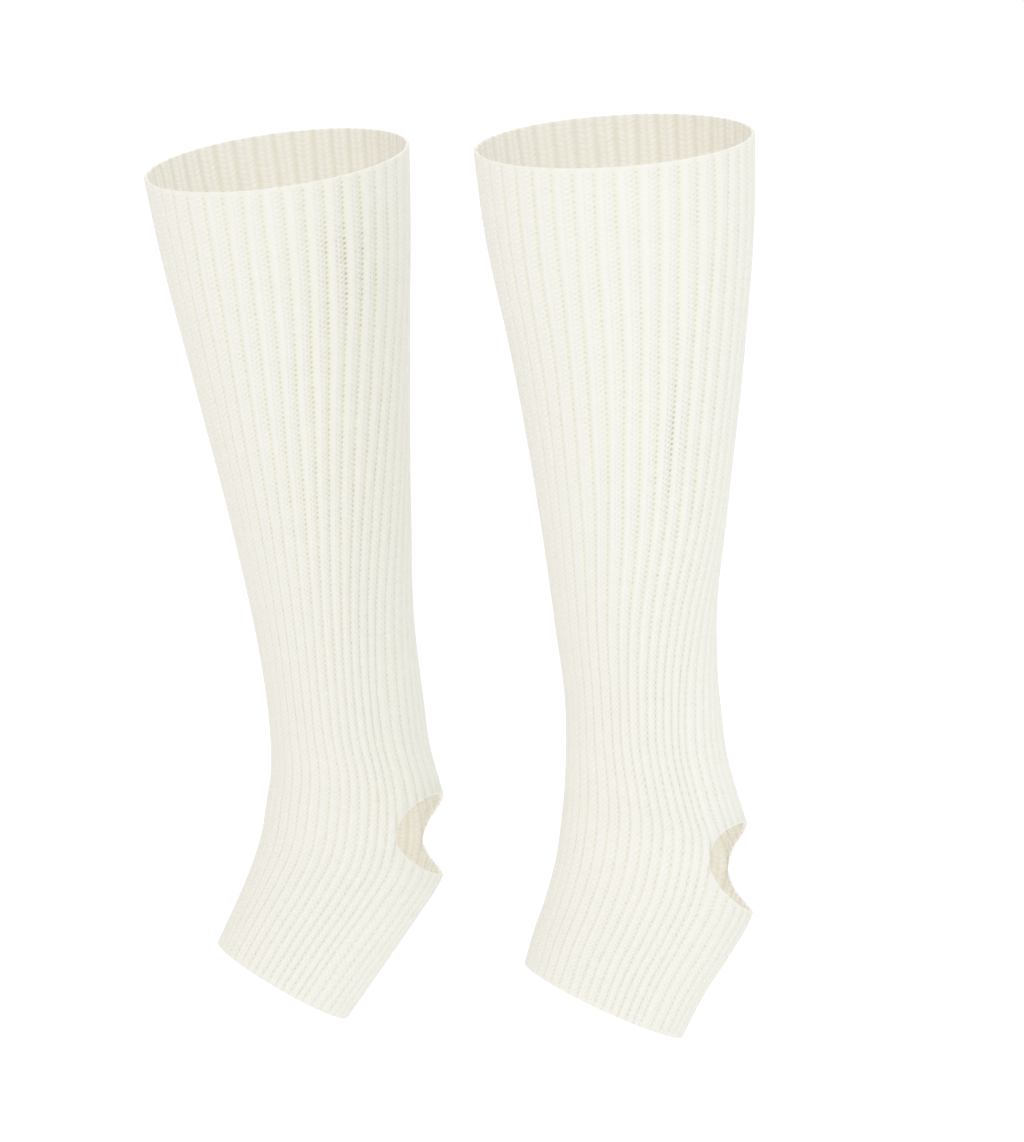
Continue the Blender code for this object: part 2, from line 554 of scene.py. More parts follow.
class KnitMesh:
    """Collects points and faces as whole arrays, and makes one piece of them.

    A face lies between a row and the next one, and its corners go down the tube first and
    then round it, so that the cloth's face points outwards. The rows of the reverse are
    given from the last to the first.
    """

    def __init__(self, knit: RibKnit) -> None:
        """Starts an empty mesh for this knit.

        Args:
            knit: The knit, for the sway of its ribs on the knit map.
        """
        self.knit = knit
        self.points: list[np.ndarray] = []
        self.normals: list[np.ndarray] = []
        self.opened: list[np.ndarray] = []
        self.faces: list[tuple[np.ndarray, np.ndarray, np.ndarray, Side]] = []
        self.count = 0

    def add_rows(
        self,
        points: np.ndarray,
        normals: np.ndarray,
        opened: np.ndarray,
        courses: np.ndarray,
        ribs: np.ndarray,
    ) -> Rows:
        """Adds rows of points.

        Args:
            points: Points in metres, rows by columns.
            normals: Their normals.
            opened: How open the nearest hole is at each.
            courses: The course of each row.
            ribs: The place round the tube of each column.

        Returns:
            The rows, by the points' numbers.
        """
        numbers = self.count + np.arange(opened.size).reshape(opened.shape)
        self.points.append(points.reshape(-1, 3))
        self.normals.append(normals.reshape(-1, 3))
        self.opened.append(opened.reshape(-1))
        self.count += opened.size
        return Rows(numbers, courses, ribs)

    def maps(self, rows: Rows, heights: np.ndarray) -> tuple[np.ndarray, np.ndarray]:
        """Places of the rows' points on the knit map and on the bake map.

        The knit map is the swayed rib and the course. The bake map is the share of the way
        round, and the heights given.

        Args:
            rows: The rows.
            heights: Height of each row on the bake map.

        Returns:
            Knit map and bake map, rows by columns by 2.
        """
        course, ribs = np.meshgrid(rows.courses, rows.ribs, indexing="ij")
        half = self.knit.ribs / 2
        knit = np.stack([self.knit.swayed(course, ribs) + half, course], axis=-1)
        height = np.broadcast_to(heights[:, None], ribs.shape)
        bake = np.stack([(ribs + half) / self.knit.ribs, height], axis=-1)
        return knit, bake

    def band(self, rows: Rows, low: float, high: float, side: Side) -> None:
        """Adds four-cornered faces between each row and the next.

        Args:
            rows: Two or more rows.
            low: Height of the first row on the bake map.
            high: Height of the last row.
            side: The side of the cloth, for the material.
        """
        knit, bake = self.maps(rows, np.linspace(low, high, len(rows.courses)))
        corners = [
            values.reshape(-1, 4, *values.shape[3:])
            for values in (
                np.stack([each[:-1, :-1], each[1:, :-1], each[1:, 1:], each[:-1, 1:]], axis=2)
                for each in (rows.numbers, knit, bake)
            )
        ]
        self.faces.append((*corners, side))

    def bridge(self, outer: Rows, inner: Rows, low: float, high: float, inwards: bool) -> None:
        """Adds triangles between a row of the face and one of the reverse with fewer columns.

        Each step round the face's row meets the reverse's column at or before it, and each
        step round the reverse's row meets the face's column at its end.

        Args:
            outer: One row of the face.
            inner: One row of the reverse, whose columns are among the face's.
            low: Height of the face's row on the bake map.
            high: Height of the reverse's row.
            inwards: Whether the cloth's surface goes from the face to the reverse here, as
                at a lower edge.
        """
        outer_knit, outer_bake = self.maps(outer, np.array([low]))
        inner_knit, inner_bake = self.maps(inner, np.array([high]))
        column = np.searchsorted(outer.ribs, inner.ribs - SAME_PLACE)
        step = np.arange(1, len(outer.ribs))
        before = np.searchsorted(column, step - 1, side="right") - 1
        span = np.arange(1, len(inner.ribs))
        pairs = (
            (outer.numbers[0], inner.numbers[0]),
            (outer_knit[0], inner_knit[0]),
            (outer_bake[0], inner_bake[0]),
        )
        corners = []
        for far, near in pairs:
            if inwards:
                one = np.stack([far[step - 1], near[before], far[step]], axis=1)
                two = np.stack([near[span - 1], near[span], far[column[span]]], axis=1)
            else:
                one = np.stack([near[before], far[step - 1], far[step]], axis=1)
                two = np.stack([near[span - 1], far[column[span]], near[span]], axis=1)
            corners.append(np.concatenate([one, two]))
        self.faces.append((*corners, Side.REVERSE))

    def object(self, name: str, materials: list[bpy.types.Material]) -> bpy.types.Object:
        """Makes the piece, with its maps, openness of holes, normals and materials.

        Args:
            name: The piece's name.
            materials: Its materials in the order of the sides.

        Returns:
            The new object, at the origin.
        """
        corners = np.concatenate([face[0].reshape(-1) for face in self.faces])
        used, corners = np.unique(corners, return_inverse=True)
        points = np.concatenate(self.points)[used]
        normals = np.concatenate(self.normals)[used]
        sizes = np.concatenate([np.full(len(face[0]), face[0].shape[1]) for face in self.faces])
        slots = np.concatenate([np.full(len(face[0]), face[3].value) for face in self.faces])
        mesh = bpy.data.meshes.new(name)
        mesh.vertices.add(len(points))
        mesh.vertices.foreach_set("co", points.astype(np.float32).reshape(-1))
        mesh.loops.add(len(corners))
        mesh.loops.foreach_set("vertex_index", corners.astype(np.int32).reshape(-1))
        mesh.polygons.add(len(sizes))
        starts = np.cumsum(sizes) - sizes
        mesh.polygons.foreach_set("loop_start", starts.astype(np.int32))
        mesh.polygons.foreach_set("material_index", slots.astype(np.int32))
        mesh.polygons.foreach_set("use_smooth", np.ones(len(sizes), bool))
        mesh.update(calc_edges=True)
        for map_name, index in ((BAKE_MAP, 2), (KNIT_MAP, 1)):
            layer = mesh.uv_layers.new(name=map_name)
            values = np.concatenate([face[index].reshape(-1, 2) for face in self.faces])
            layer.uv.foreach_set("vector", values.astype(np.float32).reshape(-1))
        mesh.uv_layers.active = mesh.uv_layers[BAKE_MAP]
        opened = mesh.attributes.new(OPEN_ATTRIBUTE, "FLOAT", "POINT")
        opened.data.foreach_set("value", np.concatenate(self.opened)[used].astype(np.float32))
        mesh.normals_split_custom_set_from_vertices(normals.tolist())
        for material in materials:
            mesh.materials.append(material)
        return add_object(name, mesh)


# ------------------------------------------------------------------ finishes


class Nodes:
    """The nodes of a material or a world, built by short calls."""

    def __init__(self, owner: bpy.types.Material | bpy.types.World) -> None:
        """Starts from the owner's first nodes.

        Args:
            owner: The new material or world.
        """
        owner.use_nodes = True
        self.owner = owner
        self.tree = owner.node_tree
        first = "Background" if isinstance(owner, bpy.types.World) else "Principled BSDF"
        self.shader = self.tree.nodes[first]

    def node(self, kind: str, **values: object) -> bpy.types.Node:
        """Adds a node and sets its properties."""
        made = self.tree.nodes.new(kind)
        for key, value in values.items():
            setattr(made, key, value)
        return made

    def feed(self, node: bpy.types.Node, sources: dict[int | str, object]) -> None:
        """Links a node's inputs to sockets, or sets them to values."""
        for key, source in sources.items():
            if isinstance(source, bpy.types.NodeSocket):
                self.tree.links.new(source, node.inputs[key])
            else:
                node.inputs[key].default_value = source

    def math(self, operation: str, *sources: object) -> bpy.types.NodeSocket:
        """Adds a Math node and returns its result."""
        made = self.node("ShaderNodeMath", operation=operation)
        self.feed(made, dict(enumerate(sources)))
        return made.outputs[0]

    def clamp(self, number: object) -> bpy.types.NodeSocket:
        """The number, kept between 0 and 1."""
        return self.math("MINIMUM", self.math("MAXIMUM", number, 0.0), 1.0)

    def mix(self, share: object, low: object, high: object) -> bpy.types.NodeSocket:
        """Adds a mix of two colours and returns it."""
        made = self.node("ShaderNodeMix", data_type="RGBA")
        self.feed(made, {0: share, 6: low, 7: high})
        return made.outputs[2]

    def noise(self, scale: float, detail: float) -> bpy.types.NodeSocket:
        """Adds noise on Object coordinates and returns a number about 0.5."""
        place = self.node("ShaderNodeTexCoord").outputs["Object"]
        made = self.node("ShaderNodeTexNoise")
        self.feed(made, {"Vector": place, "Scale": scale, "Detail": detail})
        return made.outputs["Fac"]

    def bump(self, height: object, distance: float, under: object = None) -> bpy.types.NodeSocket:
        """Adds a bump over an earlier one and returns the normal."""
        made = self.node("ShaderNodeBump")
        self.feed(made, {"Height": height, "Distance": distance})
        if under is not None:
            self.feed(made, {"Normal": under})
        return made.outputs[0]


@dataclass
class StitchPattern:
    """The stitches drawn as shader nodes, by the same formulas as their relief."""

    nodes: Nodes

    def __post_init__(self) -> None:
        """Reads the knit map: ribs across and courses along."""
        knit = self.nodes.node("ShaderNodeUVMap", uv_map=KNIT_MAP)
        split = self.nodes.node("ShaderNodeSeparateXYZ")
        self.nodes.feed(split, {0: knit.outputs[0]})
        self.rib, self.course = split.outputs[0], split.outputs[1]

    def off_whole(self, number: object, offset: float) -> bpy.types.NodeSocket:
        """How far a number less the offset lies from the nearest whole one."""
        share = self.nodes.math("FRACT", self.nodes.math("ADD", number, 0.5 - offset))
        return self.nodes.math("SUBTRACT", share, 0.5)

    def squared(self, number: object, half_width: float) -> bpy.types.NodeSocket:
        """The square of a number over a half width."""
        return self.nodes.math("POWER", self.nodes.math("DIVIDE", number, half_width), 2.0)

    def holes(self, holes: Holes) -> bpy.types.NodeSocket:
        """A bell across each hole times a bell along it, as one bell of both squares."""
        across = self.squared(self.off_whole(self.rib, holes.place), holes.width)
        along = self.squared(self.off_whole(self.course, holes.offset), holes.length)
        both = self.nodes.math("ADD", across, along)
        return self.nodes.math("EXPONENT", self.nodes.math("MULTIPLY", both, -1.0))

    def strokes(self, strokes: Strokes) -> bpy.types.NodeSocket:
        """A band with soft sides times a slanting cosine wave along the courses."""
        nodes = self.nodes
        off = self.off_whole(self.rib, strokes.place)
        inside = nodes.math("SUBTRACT", strokes.reach, nodes.math("ABSOLUTE", off))
        band = nodes.clamp(nodes.math("MULTIPLY_ADD", inside, 1 / strokes.soft, 0.5))
        phase = nodes.math("MULTIPLY_ADD", off, strokes.slant, self.course)
        wave = nodes.math("COSINE", nodes.math("MULTIPLY", phase, TURN))
        return nodes.math("MULTIPLY", band, nodes.math("MULTIPLY_ADD", wave, -0.5, 0.5))


@dataclass(frozen=True)
class Mottle:
    """Noise in the yarn's tint: its scale and detail, and its gain and shift after that."""

    scale: float
    detail: float
    gain: float
    shift: float

    def draw(self, nodes: Nodes) -> bpy.types.NodeSocket:
        """The noise times the gain, plus the shift."""
        noise = nodes.noise(self.scale, self.detail)
        return nodes.math("MULTIPLY_ADD", noise, self.gain, self.shift)


@dataclass(frozen=True)
class KnitFinish:
    """Soft matt yarn: its colours and sheen, and the plies and fuzz too fine to model.

    The crease colour is painted shade down the creases of the ribs, the hollow colour
    painted shade between two stitches, and the hole colour painted shade of the tube's
    inside seen through an open hole.
    """

    name: str
    stitches: Stitches
    colour: tuple[float, float, float, float]
    tint: tuple[float, float, float, float]
    crease_shade: tuple[float, float, float, float]
    hollow_shade: tuple[float, float, float, float]
    hole_shade: tuple[float, float, float, float]
    shade_creases: tuple[ShadeCrease, ...]
    roughness: float = 0.92
    specular: float = 0.25
    sheen: float = 0.1
    sheen_roughness: float = 0.45
    slow: Mottle = Mottle(14.0, 3.0, 2.2, -0.6)
    fine: Mottle = Mottle(420.0, 2.0, 0.5, -0.25)
    ply_middle: float = 0.47
    ply_height: float = 0.00004
    fuzz_scale: float = 2600.0
    fuzz_detail: float = 3.0
    fuzz_height: float = 0.00003

    def build(self) -> bpy.types.Material:
        """Builds the material.

        The colour is yarn tinted by slow and fine noise, with painted shade in the creases,
        in the hollows between stitches and in the open holes mixed in one after the other. The
        bump is the yarn's plies, a sine along each slanting stitch, under fine noise for the fuzz.

        Returns:
            The finished material.
        """
        nodes = Nodes(bpy.data.materials.new(self.name))
        pattern = StitchPattern(nodes)
        share = nodes.math("ADD", self.slow.draw(nodes), self.fine.draw(nodes))
        colour = nodes.mix(nodes.clamp(share), self.colour, self.tint)
        # Painted shade down the creases of the ribs.
        for crease_shade in self.shade_creases:
            off = pattern.squared(pattern.off_whole(pattern.rib, crease_shade.place), crease_shade.width)
            mask = nodes.math("EXPONENT", nodes.math("MULTIPLY", off, -1.0))
            colour = nodes.mix(nodes.math("MULTIPLY", mask, crease_shade.tone), colour, self.crease_shade)
        opened = nodes.node("ShaderNodeAttribute", attribute_name=OPEN_ATTRIBUTE).outputs["Fac"]
        slack = nodes.math("ADD", opened, self.stitches.shut_strokes)
        # Painted shade in the hollows between the slanting stitches.
        for strokes in self.stitches.strokes:
            mask = nodes.math("MULTIPLY", pattern.strokes(strokes), strokes.tone)
            colour = nodes.mix(nodes.math("MULTIPLY", mask, slack), colour, self.hollow_shade)
        # Painted shade of the tube's inside, seen through each open hole.
        for holes in self.stitches.holes:
            mask = nodes.math("MULTIPLY", pattern.holes(holes), holes.tone)
            colour = nodes.mix(nodes.math("MULTIPLY", mask, opened), colour, self.hole_shade)
        lean = nodes.math("ABSOLUTE", pattern.off_whole(pattern.rib, self.ply_middle))
        plies = nodes.math("MULTIPLY", nodes.math("ADD", pattern.course, lean), 2 * TURN)
        relief = nodes.bump(nodes.math("SINE", plies), self.ply_height)
        noise = nodes.noise(self.fuzz_scale, self.fuzz_detail)
        sockets = {
            "Base Color": colour,
            "Roughness": self.roughness,
            "Specular IOR Level": self.specular,
            "Sheen Weight": self.sheen,
            "Sheen Roughness": self.sheen_roughness,
            "Normal": nodes.bump(noise, self.fuzz_height, relief),
        }
        nodes.feed(nodes.shader, sockets)
        return nodes.owner


# ------------------------------------------------------------------ leg warmers


class End(Enum):
    """How a stretch of the tube ends: at the cloth's own edge, or where the next one joins."""

    EDGE = "edge"
    JOIN = "join"


# How a piece is laid out up its bake map. The face's rows fill it to FACE_HEIGHT, and the
# reverse's lie over them. Each edge has a strip, with two halves of its lip and the
# bridge to the reverse.
FACE_HEIGHT = 0.6
REVERSE_START = 0.61
REVERSE_HEIGHT = 0.31
LIP_HEIGHT = 0.005
LIP_STARTS = (0.0, 0.0055)
BRIDGE_START = 0.011
STRIP_HEIGHT = 0.015


class Strip(Enum):
    """Where the strip of each edge starts on the bake map."""

    TOP = 0.93
    BOTTOM = 0.95
    ABOVE_SLIT = 0.965
    BELOW_SLIT = 0.98


@dataclass(frozen=True)
class Stretch:
    """A length of the tube that is one piece: its courses, its ends, and how fine it is.

    flat is its cloth's size round the tube and along it, in metres, stretched as it is
    worn. The reverse has its own rows to a course and places in a rib.
    """

    name: str
    first: int
    last: int
    top: End
    bottom: End
    flat: tuple[float, float]
    reverse_rows: int
    reverse_places: tuple[float, ...]


FACE_ROWS = 4
FACE_PLACES = (0.0, 0.08, 0.25, 0.44, 0.60, 0.76, 0.92)
FINE_REVERSE = (0.0, 0.08, 0.25, 0.76, 0.92)
PLAIN_REVERSE = (0.0, 0.25, 0.76)

STRETCHES = (
    Stretch("calf", 0, 44, End.EDGE, End.JOIN, (0.33, 0.104), 3, FINE_REVERSE),
    Stretch("shin", 44, 104, End.JOIN, End.JOIN, (0.27, 0.143), 1, PLAIN_REVERSE),
    Stretch("foot", 104, 160, End.JOIN, End.EDGE, (0.22, 0.135), 2, FINE_REVERSE),
)


@dataclass
class LegWarmer:
    """One leg warmer: its tube, its knit, the solid that it stands for, and its pieces."""

    name: str
    node: str
    tube: Tube
    knit: RibKnit
    slit: Slit = Slit()
    stretches: tuple[Stretch, ...] = STRETCHES
    lip_rows: int = 3
    lip_bulge: float = 0.7
    normal_rows: float = 0.14
    normal_ribs: float = 0.035

    def surface(
        self, side: Side, course: np.ndarray, ribs: np.ndarray, above: bool
    ) -> tuple[np.ndarray, np.ndarray]:
        """Points of one side of the cloth, and how open its holes are there.

        Args:
            side: The side of the cloth.
            course: Courses of the points, as knitted.
            ribs: Their places round the tube.
            above: Whether they belong to the knit above the slit.

        Returns:
            Points in metres, and how open the nearest hole is.
        """
        openness = self.knit.openness(self.slit)
        depth, opened = self.knit.depth(side, course, ribs, openness)
        return self.tube.wall(self.slit.pulled(course, ribs, above), ribs, depth), opened

    def grid(
        self,
        mesh: KnitMesh,
        side: Side,
        courses: np.ndarray,
        places: tuple[float, ...],
        above: bool,
    ) -> Rows:
        """Rows of points all round one side of the cloth.

        A normal is the step down the tube crossed with the step round it, between points a
        little to either side.

        Args:
            mesh: The mesh that the points go to.
            side: The side of the cloth.
            courses: The course of each row.
            places: The places of the columns in each rib.
            above: Whether the rows lie above the slit.

        Returns:
            The rows.
        """
        half = self.tube.ribs / 2
        columns = (np.arange(self.tube.ribs)[:, None] - half + np.array(places)).reshape(-1)
        course, ribs = np.meshgrid(courses, columns, indexing="ij")
        points, opened = self.surface(side, course, ribs, above)
        open_here = np.abs(ribs) < self.slit.half_ribs - SAME_PLACE
        top = np.where(open_here & (not above), self.slit.course, 0)
        bottom = np.where(open_here & above, self.slit.course, self.knit.courses)
        lower = np.minimum(course + self.normal_rows, bottom)
        higher = np.maximum(course - self.normal_rows, top)
        step = self.normal_ribs
        down = self.surface(side, lower, ribs, above)[0]
        down = down - self.surface(side, higher, ribs, above)[0]
        across = self.surface(side, course, ribs + step, above)[0]
        across = across - self.surface(side, course, ribs - step, above)[0]
        normals = unit(np.cross(down, across)) * (1 if side is Side.FACE else -1)
        rows = mesh.add_rows(points, normals, opened, courses, columns)
        rows.numbers = np.concatenate([rows.numbers, rows.numbers[:, :1]], axis=1)
        rows.ribs = np.append(columns, half)
        return rows

    def lip(self, mesh: KnitMesh, edge: Rows, above: bool, at_slit: bool) -> Rows:
        """Rows that round the cloth's edge off from its face to its reverse.

        They follow half an ellipse over the edge: across the wall it goes as a cosine, and
        out of the edge as a sine. Straight out is the step along the edge crossed with the
        step through the wall. At the slit the ellipse flattens towards the slit's ends.

        Args:
            mesh: The mesh that the points go to.
            edge: The face's row on the edge.
            above: Whether the cloth lies above the edge.
            at_slit: Whether the edge is the slit's.

        Returns:
            The rows, from the face to the reverse.
        """
        ribs = edge.ribs
        course = np.full(ribs.shape, edge.courses[0])
        face, _ = self.surface(Side.FACE, course, ribs, above)
        reverse, _ = self.surface(Side.REVERSE, course, ribs, above)
        out = unit(np.cross(np.gradient(face, axis=0), face - reverse)) * (1 if above else -1)
        turn = np.pi * np.arange(1, self.lip_rows + 1)[:, None, None] / (self.lip_rows + 1)
        across = (face - reverse) / 2
        bulge = self.lip_bulge * METRES_PER_MM * (self.slit.arch(ribs) if at_slit else 1 + 0 * ribs)
        points = (face + reverse) / 2 + across * np.cos(turn)
        points = points + out * bulge[:, None] * np.sin(turn)
        normals = unit(unit(across) * np.cos(turn) + out * np.sin(turn))
        shut = np.zeros(points.shape[:2])
        lips = mesh.add_rows(points, normals, shut, np.full(self.lip_rows, course[0]), ribs)
        if not at_slit:
            lips.numbers[:, -1] = lips.numbers[:, 0]
        return lips

    def close(
        self,
        mesh: KnitMesh,
        face: Rows,
        reverse: Rows,
        lips: Rows | None,
        strip: Strip,
        above: bool,
    ) -> None:
        """Adds the faces of an edge, from the face's row over the lips to the reverse's row.

        Args:
            mesh: The mesh that the faces go to.
            face: The face's row on the edge.
            reverse: The reverse's row on the edge.
            lips: The rows between them, if the edge is rounded off.
            strip: The edge's strip of the bake map.
            above: Whether the cloth lies above the edge.
        """
        last, low = face, strip.value
        if lips is not None:
            rows = face.then(lips)
            half = len(rows.courses) // 2
            parts = (rows.between(0, half), rows.between(half, None))
            for part, side, start in zip(parts, Side, LIP_STARTS):
                start = low + start
                mesh.band(part if above else part.upwards(), start, start + LIP_HEIGHT, side)
            last = lips.run(-1, math.inf)
        mesh.bridge(last, reverse, low + BRIDGE_START, low + STRIP_HEIGHT, inwards=above)

    def sides(self, mesh: KnitMesh, stretch: Stretch, above: bool) -> tuple[Rows, Rows]:
        """The face's and the reverse's rows of a stretch above or below the slit.

        Args:
            mesh: The mesh that the points go to.
            stretch: The stretch.
            above: Whether the rows lie above the slit.

        Returns:
            The face's rows and the reverse's.
        """
        first = stretch.first if above else self.slit.course
        last = min(stretch.last, self.slit.course) if above else stretch.last
        made = []
        for side, rows, places in (
            (Side.FACE, FACE_ROWS, FACE_PLACES),
            (Side.REVERSE, stretch.reverse_rows, stretch.reverse_places),
        ):
            courses = np.linspace(first, last, int((last - first) * rows) + 1)
            made.append(self.grid(mesh, side, courses, places, above))
        return made[0], made[1]

    def fill(self, mesh: KnitMesh, stretch: Stretch, face: Rows, reverse: Rows) -> None:
        """Adds the faces of both sides of the cloth, each on its own part of the bake map."""
        whole = stretch.last - stretch.first
        start, end = ((rows - stretch.first) / whole for rows in face.courses[[0, -1]])
        mesh.band(face, FACE_HEIGHT * start, FACE_HEIGHT * end, Side.FACE)
        low, high = (REVERSE_START + REVERSE_HEIGHT * share for share in (end, start))
        mesh.band(reverse.upwards(), low, high, Side.REVERSE)

    def piece(self, stretch: Stretch, materials: list[bpy.types.Material]) -> bpy.types.Object:
        """Makes one stretch of the tube: both sides of the cloth, its edges and the slit.

        Args:
            stretch: The stretch.
            materials: The finishes of the face and the reverse.

        Returns:
            The piece.
        """
        mesh = KnitMesh(self.knit)
        face, reverse = self.sides(mesh, stretch, above=True)
        self.fill(mesh, stretch, face, reverse)
        edge = face.run(0, math.inf)
        cut = stretch.top is End.EDGE
        lips = self.lip(mesh, edge, above=False, at_slit=False) if cut else None
        self.close(mesh, edge, reverse.run(0, math.inf), lips, Strip.TOP, above=False)
        if stretch.last > self.slit.course:
            upper = (face, reverse)
            face, reverse = self.sides(mesh, stretch, above=False)
            self.open_slit(mesh, upper, (face, reverse))
            self.fill(mesh, stretch, face, reverse)
        edge = face.run(-1, math.inf)
        cut = stretch.bottom is End.EDGE
        lips = self.lip(mesh, edge, above=True, at_slit=False) if cut else None
        self.close(mesh, edge, reverse.run(-1, math.inf), lips, Strip.BOTTOM, above=True)
        return mesh.object(f"{self.name}_{stretch.name}", materials)

    def open_slit(
        self, mesh: KnitMesh, upper: tuple[Rows, Rows], lower: tuple[Rows, Rows]
    ) -> None:
        """Joins the knit above and below the slit beside it, and rounds off the slit's edges.

        Args:
            mesh: The mesh that the faces go to.
            upper: The face's and the reverse's rows above the slit.
            lower: The same below it, whose first row takes the upper points beside the slit.
        """
        limit = self.slit.half_ribs + SAME_PLACE
        for top, bottom in zip(upper, lower):
            beside = np.abs(top.ribs) > self.slit.half_ribs - SAME_PLACE
            bottom.numbers[0, beside] = top.numbers[-1, beside]
        edges = (upper[0].run(-1, limit), lower[0].run(0, limit))
        lips = [self.lip(mesh, edge, above, True) for edge, above in zip(edges, (True, False))]
        lips[1].numbers[:, [0, -1]] = lips[0].numbers[:, [0, -1]]
        reverse = upper[1].run(-1, limit)
        self.close(mesh, edges[0], reverse, lips[0], Strip.ABOVE_SLIT, above=True)
        reverse = lower[1].run(0, limit)
        self.close(mesh, edges[1], reverse, lips[1], Strip.BELOW_SLIT, above=False)

    def middle(self, courses: np.ndarray) -> np.ndarray:
        """Points in metres down the middle of the tube: the mean of four places round it."""
        quarters = np.arange(4) * self.tube.ribs / 4
        course, ribs = np.meshgrid(courses, quarters, indexing="ij")
        place = np.array(self.tube.place)
        return (self.tube.outline(course, ribs).mean(axis=1) + place) * METRES_PER_MM

    def build(self, materials: list[bpy.types.Material]) -> list[bpy.types.Object]:
        """Makes the pieces and hangs them on the frame.

        Args:
            materials: The finishes of the face and the reverse.

        Returns:
            The pieces, from the calf to the foot.
        """
        pieces = []
        for stretch in self.stretches:
            piece = self.piece(stretch, materials)
            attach(piece, "root")
            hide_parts(self.node)
            pieces.append(piece)
        return pieces


# ------------------------------------------------------------------ studio


@dataclass(frozen=True)
class Studio:
    """The floor, the light and the camera."""

    floor_height: float = -0.85
    floor_width: float = 60.0
    floor_colour: tuple[float, float, float, float] = (0.98, 0.98, 0.98, 1.0)
    sky: float = 1.05
    overhead: float = 0.3
    left_colour: tuple[float, float, float, float] = (0.69, 0.64, 0.585, 1.0)
    right_colour: tuple[float, float, float, float] = (0.77, 0.79, 0.79, 1.0)
    lamp_place: tuple[float, float, float] = (0.1, -3.4, 1.0)
    lamp_aim: tuple[float, float, float] = (0.0, 0.0, -0.19)
    lamp_power: float = 13.0
    lamp_width: float = 2.4
    glow_power: float = 0.028
    glow_width: float = 0.054
    glow_exponent: float = 1.9
    glow_radius: float = 0.02
    glow_colour: tuple[float, float, float] = (1.0, 0.985, 0.955)
    camera_place: tuple[float, float, float] = (0.031, -2.9708, 0.2295)
    camera_tilt: float = 82.0
    lens: float = 210.16
    sensor: float = 36.0

    def floor(self) -> bpy.types.Object:
        """A plain square floor, far below, so that its soft shadow lies out of view."""
        half = self.floor_width / 2
        z = self.floor_height
        mesh = bpy.data.meshes.new("floor")
        corners = [(-half, -half, z), (half, -half, z), (half, half, z), (-half, half, z)]
        mesh.from_pydata(corners, [], [(0, 1, 2, 3)])
        nodes = Nodes(bpy.data.materials.new("pale_floor"))
        matt = {"Base Color": self.floor_colour, "Roughness": 1.0, "Specular IOR Level": 0.0}
        nodes.feed(nodes.shader, matt)
        mesh.materials.append(nodes.owner)
        return add_object("floor", mesh)

    def sky_light(self) -> bpy.types.World:
        """White light from all round, stronger from above and weaker from both sides.

        To the sky's strength is added a share of the square of the way up, and the square
        of the way to the left or right mixes in that side's colour.

        Returns:
            The world.
        """
        nodes = Nodes(bpy.data.worlds.new("studio"))
        split = nodes.node("ShaderNodeSeparateXYZ")
        nodes.feed(split, {0: nodes.node("ShaderNodeTexCoord").outputs["Generated"]})
        colour = (1.0, 1.0, 1.0, 1.0)
        for sign, side in ((-1.0, self.left_colour), (1.0, self.right_colour)):
            way = nodes.math("MAXIMUM", nodes.math("MULTIPLY", split.outputs[0], sign), 0.0)
            colour = nodes.mix(nodes.math("POWER", way, 2.0), colour, side)
        up = nodes.math("POWER", nodes.math("MAXIMUM", split.outputs[2], 0.0), 2.0)
        strength = nodes.math("MULTIPLY_ADD", up, self.overhead, self.sky)
        nodes.feed(nodes.shader, {"Color": colour, "Strength": strength})
        return nodes.owner

    def light(self) -> None:
        """The sky's light, and a wide soft lamp above the camera."""
        scene = bpy.context.scene
        scene.view_settings.view_transform = "Standard"
        scene.world = self.sky_light()
        lamp = bpy.data.lights.new("softbox", "AREA")
        lamp.energy = self.lamp_power
        lamp.size = self.lamp_width
        made = add_object("softbox", lamp, self.lamp_place)
        aim = np.array(self.lamp_aim) - np.array(self.lamp_place)
        level = math.hypot(aim[0], aim[1])
        made.rotation_euler = (math.atan2(level, -aim[2]), 0.0, math.atan2(-aim[0], aim[1]))

    def glow(self, places: np.ndarray, half_widths: np.ndarray) -> None:
        """Small soft lamps inside a tube, for the light that comes through the thin knit.

        Their power goes with the tube's half width to the power of the exponent.

        Args:
            places: Where the lamps hang, in metres.
            half_widths: The tube's half width at each, in metres.
        """
        for place, half_width in zip(places, half_widths):
            lamp = bpy.data.lights.new("glow", "POINT")
            lamp.energy = self.glow_power * (half_width / self.glow_width) ** self.glow_exponent
            lamp.shadow_soft_size = self.glow_radius
            lamp.color = self.glow_colour
            add_object("glow", lamp, place).visible_camera = False

    def camera(self) -> None:
        """The camera, 3 m off at the photograph's angle."""
        data = bpy.data.cameras.new("camera")
        data.lens = self.lens
        data.sensor_width = self.sensor
        made = add_object("camera", data, self.camera_place)
        made.rotation_euler = (math.radians(self.camera_tilt), 0.0, 0.0)
        bpy.context.scene.camera = made

    def build(self) -> None:
        """Makes the floor, the light and the camera."""
        self.floor()
        self.light()
        self.camera()


# ------------------------------------------------------------------ the pair

